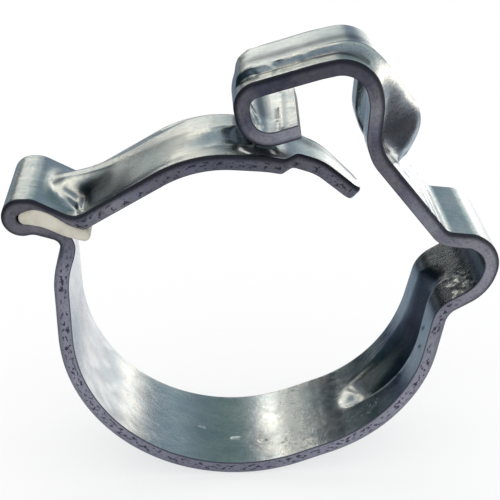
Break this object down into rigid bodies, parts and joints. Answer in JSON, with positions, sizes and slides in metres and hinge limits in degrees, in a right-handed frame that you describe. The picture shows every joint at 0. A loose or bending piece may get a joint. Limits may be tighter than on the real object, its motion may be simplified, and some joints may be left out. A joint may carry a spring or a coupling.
{
  "type": "hose clamp",
  "caption": "Spring-strip hose clamp: a hook latches onto a ribbed arm above the round band, with a spring ear, a release tongue and a soft insert in the fold.",
  "frame": {"origin": "centre of the hose bore, halfway across the strip's width", "axes": "+Y along the bore axis, +Z from the bore towards the latch, +X from the fold towards the spring ear"},
  "size_m": [0.0327, 0.0086, 0.0327],
  "materials": {
    "plated_steel": "zinc-plated rolled strip with a fine lengthwise grain",
    "soft_insert": "matt cream polymer"
  },
  "bodies": {
    "band": {"band_left": "plated_steel", "fold_lower": "plated_steel", "fold_insert": "soft_insert"},
    "arm": {"fold_upper": "plated_steel", "latch_arm": "plated_steel", "latch_seat": "plated_steel", "release_tongue": "plated_steel"},
    "right_band": {"band_right": "plated_steel", "ear_lower": "plated_steel"},
    "hook": {"ear_upper": "plated_steel", "hook_flank": "plated_steel", "hook_bridge": "plated_steel", "hook_curl": "plated_steel"}
  },
  "joints": [
    {"name": "hook_open", "type": "hinge", "parent": "right_band", "child": "hook", "pos_m": [0.01731, 0, 0.00413], "axis": [0, 1, 0], "range_deg": [0, 30]},
    {"name": "ring_spread", "type": "hinge", "parent": "band", "child": "right_band", "pos_m": [0, 0, -0.0125], "axis": [0, 1, 0], "range_deg": [0, 9]},
    {"name": "arm_lift", "type": "hinge", "parent": "band", "child": "arm", "pos_m": [-0.01525, 0, 0.00966], "axis": [0, -1, 0], "range_deg": [0, 4.5]}
  ],
  "couplings": [
    {"joint": "ring_spread", "follows": "hook_open", "ratio": 0.3},
    {"joint": "arm_lift", "follows": "hook_open", "ratio": 0.15}
  ]
}
